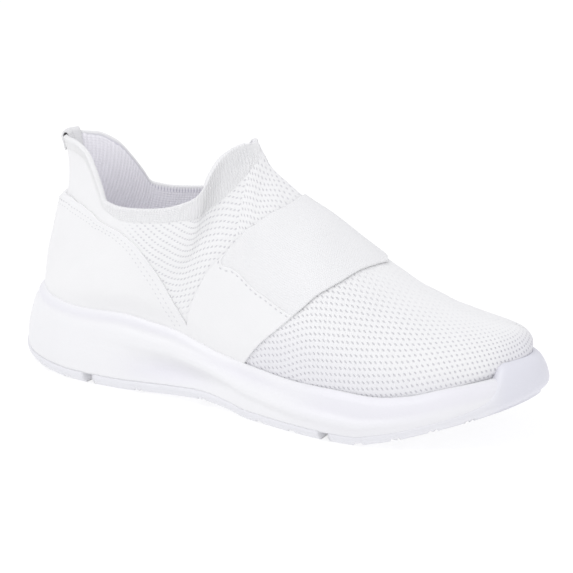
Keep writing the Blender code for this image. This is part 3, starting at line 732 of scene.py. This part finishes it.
# ribbed band: foot share at the edge, foot share and rise at its lower border
ribRows = [
    (0.000, 0.000, 0.930), (0.100, 0.100, 0.930), (0.148, 0.148, 0.940), (0.184, 0.184, 0.900), (0.233, 0.233, 0.898),
    (0.281, 0.283, 0.885), (0.310, 0.316, 0.860), (0.336, 0.350, 0.795), (0.360, 0.385, 0.705), (0.385, 0.410, 0.662),
    (0.405, 0.430, 0.660), (0.425, 0.449, 0.700), (0.440, 0.466, 0.810), (0.450, 0.486, 1.000)]
ribs = {"pitch": 0.0017, "depth": 0.00036, "columns": 560, "down": 20, "roll": 6, "inside": 6, "reach": 0.012}


def soften(item, centre, reach, times):
    bm = bmesh.new()
    bm.from_mesh(item.data)
    near = [v for v in bm.verts if (v.co - Vector(centre)).length < reach]
    bmesh.ops.remove_doubles(bm, verts=near, dist=0.00001)
    near = [v for v in bm.verts if (v.co - Vector(centre)).length < reach]
    for turn in range(times):
        bmesh.ops.smooth_vert(bm, verts=near, factor=0.5, use_axis_x=True, use_axis_y=True, use_axis_z=True)
    bm.to_mesh(item.data)
    bm.free()


def buildCollar():
    n = ribs["columns"]
    down = ribs["down"]
    roll = ribs["roll"]
    rows = down + roll + ribs["inside"]
    run = np.linspace(0, shoe["tongueTip"], 801)
    line = upperPoint(-1, run, np.ones(801))
    flat = np.linalg.norm(np.diff(line[:, :2], axis=0), axis=1)
    steep = np.abs(np.diff(line[:, 2]))
    length = np.concatenate([[0.0], np.cumsum(flat + 0.25 * steep)])

    def shape(a, b, turned):
        side, share = twoSides(a, n)
        side = side * turned
        top = share * shoe["tongueTip"]
        reach = np.interp(top, run, length)
        t = np.clip(b / down, 0, 1)
        low = along(ribRows, 1, top)
        u = low + (top - low) * t
        v = along(ribRows, 2, top) + (1 - along(ribRows, 2, top)) * t
        wave = np.cos(2 * np.pi * reach / ribs["pitch"])
        ribbed = ease(top, 0.125, 0.165)
        fade = ease(t, 0.0, 0.22)
        lift = (0.00030 + ribs["depth"] * 0.5 * wave * ribbed) * fade - 0.0004 * (1 - fade)
        outer = skinPoint(side, u, v, lift)
        ones = np.ones(len(a))
        edge = upperPoint(side, top, ones)
        normal = upperNormal(side, top, ones)
        rise = edge - upperPoint(side, top, 0.97 * ones)
        rise = rise / np.linalg.norm(rise, axis=1)[:, None]
        radius = (shoe["wall"] + 0.0006) / 2
        centre = edge - normal * (radius - 0.0003)
        turn = (np.clip((b - down) / roll, 0, 1) * np.pi)[:, None]
        wide = (radius + ribs["depth"] * 0.5 * wave * ribbed)[:, None]
        rolled = centre + (normal * np.cos(turn) + rise * np.sin(turn) * 0.7) * wide
        inward = np.clip((b - down - roll) / ribs["inside"], 0, 1)
        vIn = 1 - inward * ribs["reach"] / 0.085
        dip = (shoe["wall"] + 0.0003 - 0.0009 * inward + ribs["depth"] * 0.4 * wave * ribbed)[:, None]
        inner = upperPoint(side, top, vIn) - upperNormal(side, top, vIn) * dip
        points = np.where((b <= down)[:, None], outer, np.where((b <= down + roll)[:, None], rolled, inner))
        # how much painted shade falls in each rib's groove
        groove = (0.5 - 0.5 * wave) * ribbed * fade
        # the second number is painted shade on the rows inside the collar
        return points, top, np.stack([reach, clothMap(side, u, v)], 1), np.stack([groove, 0.8 * (b > down + roll)], 1)

    def place(a, b):  # both sides meet halfway at the tongue's tip
        points, top, cloth, mask = shape(a, b, 1)
        met = 0.5 * ease(top, 0.443, 0.45)[:, None]
        return points * (1 - met) + shape(a, b, -1)[0] * met, cloth, mask

    item = gridPiece("collar_rib", 2 * n, rows, place)
    tip = toFrame(upperPoint(-1, np.array([shoe["tongueTip"]]), np.ones(1))[0])
    soften(item, tip, 0.007, 24)
    dress(item, looks["rib"], "knit_white")


def panelEdge(index, count, eps):  # share across a panel and how far it stands up, with a rolled border
    share = eps + (1 - 2 * eps) * np.clip((index - 3) / (count - 6), 0, 1)
    lift = np.ones(len(index))
    for k, (s, h) in enumerate(((0.0, -0.5), (0.0, 0.55), (0.35 * eps, 0.92))):
        share = np.where(index == k, s, np.where(index == count - k, 1 - s, share))
        lift = np.where((index == k) | (index == count - k), h, lift)
    return share, lift


# top edge of the heel counter: foot share, rise on the upper
counterRows = [
    (0.000, 0.668), (0.030, 0.660), (0.060, 0.662), (0.090, 0.715), (0.120, 0.790), (0.148, 0.846),
    (0.176, 0.838), (0.199, 0.805), (0.228, 0.740), (0.258, 0.640), (0.286, 0.535), (0.323, 0.385),
    (0.356, 0.233), (0.378, 0.130), (0.400, 0.045)]
padRows = [(0.00, 1.00), (0.03, 0.90), (0.06, 0.55), (0.10, 0.18), (0.14, 0.00)]
padRiseRows = [(0.00, 0.05), (0.20, 0.35), (0.50, 0.85), (0.75, 1.00), (0.93, 0.90), (1.00, 0.35)]
counterLook = {"thick": 0.0009, "end": 0.396, "pad": 0.0030}


def buildCounter():
    def place(a, b):
        s, la = panelEdge(a, 150, 0.0022)
        t, lb = panelEdge(b, 44, 0.010)
        u = (2 * s - 1) * counterLook["end"]
        side = np.where(u < 0, 1, -1)
        u = np.abs(u)
        low = clearOfRim(side, u, -0.004)
        top = along(counterRows, 1, u)
        v = low + (top - low) * t
        pad = counterLook["pad"] * along(padRows, 1, u) * along(padRiseRows, 1, t)
        lift = counterLook["thick"] * np.minimum(la, lb) + 0.0002 + pad * (np.minimum(la, lb) > 0)
        return skinPoint(side, u, v, lift), np.stack([u * sideRun, clothMap(side, u, v)], 1), np.zeros((len(a), 2))

    item = gridPiece("heel_panel", 150, 44, place, thick=0.0005)
    dress(item, looks["panel"], "smooth_overlay", "heel_counter")


# sides of the strap: rise on the upper, foot share at the back, foot share at the front
strapRows = [
    (0.00, 0.382, 0.470), (0.10, 0.380, 0.500), (0.20, 0.384, 0.540), (0.28, 0.395, 0.570), (0.35, 0.410, 0.594),
    (0.41, 0.446, 0.609), (0.50, 0.474, 0.630), (0.60, 0.503, 0.648), (0.75, 0.535, 0.667), (0.90, 0.549, 0.683),
    (1.00, 0.551, 0.690)]
seamRows = [(0.00, 0.385), (0.10, 0.345), (0.20, 0.318), (0.35, 0.308), (0.55, 0.296), (0.75, 0.287), (1.00, 0.276)]
strapLook = {"bandThick": 0.0008, "sideThick": 0.0009}


def strapShare(rise, t):
    back = along(strapRows, 1, rise)
    return back + (along(strapRows, 2, rise) - back) * t


def buildStrap():
    def band(a, b):
        t, la = panelEdge(a, 60, 0.012)
        w = b / 110
        taper = np.minimum(ease(w, 0.0, 0.035), 1 - ease(w, 0.965, 1.0))
        seam = along(seamRows, 1, t) - 0.012
        full = seam + (2 - 2 * seam) * w
        side = np.where(full > 1, 1, -1)
        rise = np.where(full > 1, 2 - full, full)
        u = strapShare(rise, t)
        p = skinPoint(side, u, rise, (strapLook["bandThick"] * la + 0.0003) * taper + 0.0004)
        return p, np.stack([u * sideRun, clothMap(side, u, rise)], 1), np.zeros((len(a), 2))

    item = gridPiece("instep_band", 60, 110, band, thick=0.0005)
    dress(item, looks["band"], "elastic_white", "strap_band")
    for side, node in ((-1, "strap_side_outer"), (1, "strap_side_inner")):
        def panel(a, b):
            t, la = panelEdge(a, 60, 0.012)
            w = b / 44
            seam = along(seamRows, 1, t) + 0.012
            sides = np.full(len(a), side)
            low = clearOfRim(sides, strapShare(0 * t, t), -0.004)
            for step in range(4):
                low = clearOfRim(sides, strapShare(low, t), -0.004)
            v = low + (seam - low) * w
            u = strapShare(v, t)
            p = skinPoint(sides, u, v, strapLook["sideThick"] * la + 0.0002)
            return p, np.stack([u * sideRun, clothMap(sides, u, v)], 1), np.zeros((len(a), 2))

        item = gridPiece("side_panel_" + ("outer" if side < 0 else "inner"), 60, 44, panel, thick=0.0005)
        dress(item, looks["panel"], "smooth_overlay", node)


# rows of stitches: half length, half width and half height of one, and the way between two
stitchLook = {"long": 0.00075, "wide": 0.00028, "high": 0.00022, "pitch": 0.0026, "sides": 8, "rings": 4}


def stitchRow(bm, points, normals, pitch, long):
    step = np.linalg.norm(np.diff(points, axis=0), axis=1)
    length = np.concatenate([[0.0], np.cumsum(step)])
    for at in np.arange(pitch / 2, length[-1], pitch):
        here = np.array([np.interp(at, length, points[:, c]) for c in range(3)])
        ahead = np.array([np.interp(at + 0.0005, length, points[:, c]) for c in range(3)])
        out = np.array([np.interp(at, length, normals[:, c]) for c in range(3)])
        forward = Vector(ahead - here).normalized()
        up = Vector(out).normalized()
        across = up.cross(forward).normalized()
        turn = Matrix([forward, across, up]).transposed().to_4x4()
        size = Matrix.Diagonal((long, stitchLook["wide"], stitchLook["high"], 1.0))
        place = Matrix.Translation(Vector(toFrame(here))) @ turn @ size
        bmesh.ops.create_uvsphere(bm, u_segments=stitchLook["sides"], v_segments=stitchLook["rings"], radius=1.0, matrix=place)


def surfaceRow(bm, side, u, v, lift, pitch, long):
    side = np.full(len(u), side)
    stitchRow(bm, skinPoint(side, u, v, np.full(len(u), lift)), upperNormal(side, u, v), pitch, long)


def meshPiece(name, bm, material, slot, *nodes):
    for face in bm.faces:
        face.smooth = True
    mesh = bpy.data.meshes.new(name)
    bm.to_mesh(mesh)
    bm.free()
    item = bpy.data.objects.new(name, mesh)
    bpy.context.scene.collection.objects.link(item)
    return dress(item, material, slot, *nodes)


def buildStitches():
    bm = bmesh.new()
    for side in (-1, 1):
        u = np.linspace(0.002, 0.388, 160)
        for down in (0.0030, 0.0052):
            top = along(counterRows, 1, u)
            slope = np.gradient(top * upperLook["riseLength"], u * sideRun)
            lean = np.sqrt(1 + slope * slope)
            un = np.clip(u + down * slope / lean / sideRun, 0.0, 0.5)
            v = top - down / lean / upperLook["riseLength"]
            keep = (v > 0.11) & (un >= 0)
            pad = counterLook["pad"] * along(padRows, 1, un) * 0.92
            lifts = counterLook["thick"] + 0.0001 + pad
            sides = np.full(len(u), side)
            p = skinPoint(sides, un, v, lifts)[keep]
            stitchRow(bm, p, upperNormal(sides, un, v)[keep], stitchLook["pitch"], stitchLook["long"])
        t = np.linspace(0.03, 0.97, 80)
        v = along(seamRows, 1, t)
        surfaceRow(bm, side, strapShare(v, t), v, strapLook["bandThick"] + 0.0004, 0.0034, 0.0008)
    # grey stitches: real thread, darkened as painted shade of the stitch holes
    meshPiece("stitching", bm, looks["threadAndShade"], "smooth_overlay")


tabLook = {"half": 0.0215, "thick": 0.0009, "clear": 0.0003, "outside": 0.075, "inside": 0.12, "tall": 1.35}


def buildTab():
    legs = 12
    turns = 12
    rows = 2 * legs + turns

    def place(a, b):
        u = (a / 14 * 2 - 1) * tabLook["half"]
        side = np.where(u < 0, 1, -1)
        u = np.abs(u)
        radius = shoe["wall"] / 2 + tabLook["clear"] + tabLook["thick"]
        down = np.where(b < legs, (1 - b / legs) * tabLook["outside"], np.clip((b - legs - turns) / legs, 0, 1) * tabLook["inside"])
        v = 1 - down
        normal = upperNormal(side, u, v)
        middle = upperPoint(side, u, v) - normal * shoe["wall"] / 2
        rise = upperPoint(side, u, np.ones(len(u))) - upperPoint(side, u, np.full(len(u), 0.97))
        rise = rise / np.linalg.norm(rise, axis=1)[:, None]
        turn = (np.clip((b - legs) / turns, 0, 1) * np.pi)[:, None]
        p = middle + (normal * np.cos(turn) + rise * np.sin(turn) * tabLook["tall"]) * radius
        across = np.stack([(a / 14) * 0.0145, b * 0.001], 1)
        return p, across, np.zeros((len(a), 2))

    item = gridPiece("tab_ribbon", 14, rows, place, thick=tabLook["thick"])
    dress(item, looks["ribbon"], "tab_white", "pull_tab")


buildUpper()
buildLining()
buildCollar()
buildCounter()
buildStrap()
buildStitches()
buildTab()
print("upper dressed")


# ---- sole
def wallHeights(share, low, lift, high):
    x = chordX(share, 0.0)
    bottom = low(chordX(share, sideInset(x, low(x)))) + lift
    top = high(chordX(share, sideInset(x, high(x))))
    return x, bottom, top


def placedAt(side, share, inset, z):
    point, out = rimPoint(side, share)
    flat = point - out * np.broadcast_to(inset, share.shape)[..., None]
    return np.stack([flat[..., 0], flat[..., 1], np.broadcast_to(z, share.shape)], -1)


def stack(side, share, path):  # path is a list of (inset, height) arrays
    return np.stack([placedAt(side, share, inset, z) for inset, z in path], 1)


def midPoints(share, inset, z):
    both = (placedAt(-1, share, inset, z) + placedAt(1, share, inset, z)) / 2
    both[..., 2] = z
    return both


midsoleLook = {"columns": 260, "levels": 34}


lipRound = {"height": 0.0034, "inset": 0.0011, "toeInset": 0.0016}


def soleForm(share, level):  # what the side wall gains inwards beyond its plain form
    inward = 0.0005 * bump(level, 0.84, 0.10) * (1 - ease(share, 0.36, 0.46))
    inward = inward + 0.0007 * bump(share, 0.36, 0.14) * bump(level, 0.30, 0.30)
    inward = inward + 0.0006 * bump(share, 0.50, 0.14) * bump(level, 0.80, 0.22)
    ridge = np.interp(share, [0.20, 0.36, 0.48, 0.60, 0.80], [0.72, 0.62, 0.50, 0.36, 0.30])
    return inward - 0.0009 * ease(share, 0.18, 0.30) * (1 - ease(share, 0.70, 0.86)) * bump(level - ridge, 0.0, 0.20)


def soleShade(share, level):  # where lilac painted shade darkens the foam: the heel's back, a band under the rim, the hollow and the forefoot
    paintedShade = 0.80 * (1 - ease(share, 0.010, 0.045)) + 0.55 * bump(level, 0.92, 0.12) * (1 - ease(share, 0.34, 0.44))
    paintedShade = paintedShade + 0.75 * bump(share, 0.355, 0.11) * bump(level, 0.22, 0.32)
    paintedShade = paintedShade + 0.60 * bump(share, 0.49, 0.13) * bump(level, 0.82, 0.26)
    fore = ease(share, 0.54, 0.66) * (1 - 0.2 * ease(share, 0.88, 0.93))
    return np.clip(paintedShade + fore * (0.20 + 0.45 * ease(level, 0.30, 0.60)), 0, 1)


def buildMidsole():
    n = midsoleLook["columns"]
    t = np.linspace(0, 1, n + 1)
    share = t - 0.08 * np.sin(2 * np.pi * t)
    x, bottom, top = wallHeights(share, treadTop, shoe["gap"], lambda q: bySole("rim", q))
    inner = bedInset(x)
    under = treadTop(chordX(share, inner)) + shoe["gap"]
    bed = footbed(chordX(share, inner))
    path = [(inner, under)]
    # painted shade amount for each row of the path
    paintedShades = [0 * share, 0 * share]
    for level in np.linspace(0, 1, midsoleLook["levels"]):
        z = bottom + (top - bottom) * level
        near = np.clip(1 - (top - z) / lipRound["height"], 0, 1)
        path.append((sideInset(x, z) + soleForm(share, level) + lipRound["inset"] * near ** 2, z))
        paintedShades.append(soleShade(share, level))
    last = path[-1][0]
    for way, up in ((0.2, 0.00022), (0.5, 0.00030), (0.8, 0.00022), (1.0, 0.0)):
        path.append((last + (inner - last) * way, top + up))
        paintedShades.append(0.5 * paintedShades[-1])
    path.append((inner, bed))
    paintedShades += [0 * share, 0 * share]
    rows = len(path) + 1
    paintedShades = np.stack(paintedShades, 1)
    sides = {}
    for side in (-1, 1):
        body = stack(side, share, path)
        first = midPoints(share, inner, under)[:, None]
        end = midPoints(share, inner, bed)[:, None]
        sides[side] = np.concatenate([first, body, end], 1)

    def place(a, b):
        side, k = twoSides(a, n)
        i = np.rint(k * n).astype(int)
        p = np.where((side == -1)[:, None], sides[-1][i, b], sides[1][i, b])
        return p, np.stack([share[i] * sideRun, p[:, 2]], 1), np.stack([paintedShades[i, b], 0 * k], 1)

    item = gridPiece("midsole_body", 2 * n, rows, place)
    dress(item, looks["foam"], "midsole_foam", "midsole")


treadLook = {"proud": 0.00065, "grooveDepth": 0.0016, "grooveWidth": 0.0034, "draft": 0.0008, "channel": 0.10,
             "channelDraft": 0.02}
bumperRows = [(0.655, 0.0), (0.80, 0.02), (0.85, 0.07), (0.88, 0.16), (0.897, 0.32), (0.906, 0.6), (0.916, 0.9),
              (0.925, 1.0), (1.0, 1.0)]


def buildTread(name, node, start, end, grooves):
    run = sideRun
    cuts = []
    for centre in grooves:
        half = treadLook["grooveWidth"] / 2 / run
        draft = treadLook["draft"] / run
        cuts += [(centre - half - draft, 0.0), (centre - half, 1.0), (centre + half, 1.0), (centre + half + draft, 0.0)]
    rows = [(start, 0.0), (end, 0.0)] + cuts
    for s in np.arange(start, end, 0.006):
        if min(abs(s - other) for other, lift in rows) > 0.003:
            rows.append((s, 0.0))
    rows.sort()
    share = np.array([r[0] for r in rows])
    lift = np.array([r[1] for r in rows]) * treadLook["grooveDepth"]
    x = chordX(share, 0.0)
    grown = along(bumperRows, 1, share) if node == "outsole_front" else np.zeros(len(share))
    proud = treadLook["proud"]
    plateX = chordX(share, sideInset(x, treadTop(x)))
    plate = treadTop(plateX)
    meet = plate + shoe["gap"] + 0.0002
    top = meet + (bySole("sideTop", x) + 0.0004 - meet) * grown
    low = bySole("underside", chordX(share, sideInset(x, bySole("underside", x)))) + lift
    inner = bedInset(x)
    innerPlate = treadTop(chordX(share, inner))
    innerLow = bySole("underside", chordX(share, inner)) + lift
    path = [(inner, innerPlate), (inner, np.where(grown > 0.02, top, innerPlate))]
    edge = sideInset(x, top) + lipRound["toeInset"] * grown
    path.append((edge + 0.0012, top))
    path.append((edge + 0.0004, top + 0.0001 * grown))
    for level in np.linspace(1, 0, 22):
        z = low + (top - 0.0003 - low) * level
        near = np.clip(1 - (top - z) / lipRound["height"], 0, 1)
        path.append((sideInset(x, z) - proud + (lipRound["toeInset"] * grown + 0.0003) * near ** 2, z))
    path.append((inner, innerLow))
    halves = {side: stack(side, share, path) for side in (-1, 1)}
    a = halves[-1][:, -1]
    b = halves[1][:, -1]
    width = np.linalg.norm(b - a, axis=1)
    depth = np.maximum(0.0016 * np.clip((width - 0.02) / 0.02, 0, 1) - lift, 0.0)
    middle = []
    half = treadLook["channel"] / 2
    for across, up in ((0.5 - half - treadLook["channelDraft"], 0), (0.5 - half, 1), (0.5 + half, 1),
                       (0.5 + half + treadLook["channelDraft"], 0)):
        p = a + (b - a) * across
        p[:, 2] += depth * up
        middle.append(p)
    loop = np.concatenate([halves[-1], np.stack(middle, 1), halves[1][:, ::-1]], 1)
    loop = np.concatenate([loop, loop[:, :1]], 1)

    def place(i, j):
        p = loop[i, j]
        # painted shade: a quarter strength over the tread, full where the rubber grows up into the toe bumper
        return p, np.stack([share[i] * sideRun, p[:, 1]], 1), np.stack([0.25 + 0.75 * grown[i], 0 * share[i]], 1)

    item = gridPiece(name, len(share) - 1, loop.shape[1] - 1, place, capEnds=True)
    dress(item, looks["rubber"], "outsole_rubber", node)


buildMidsole()
buildTread("tread_heel", "outsole_heel", 0.0, 0.218, (0.128, 0.182))
buildTread("tread_middle", "outsole_middle", 0.233, 0.640, (0.31, 0.42, 0.53, 0.59))
buildTread("tread_front", "outsole_front", 0.655, 1.0, (0.70, 0.755, 0.81, 0.865))
print("sole dressed")

for node, look in (("insole", "bed"),):
    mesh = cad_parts[node].data
    mesh.materials.clear()
    mesh.materials.append(looks[look])
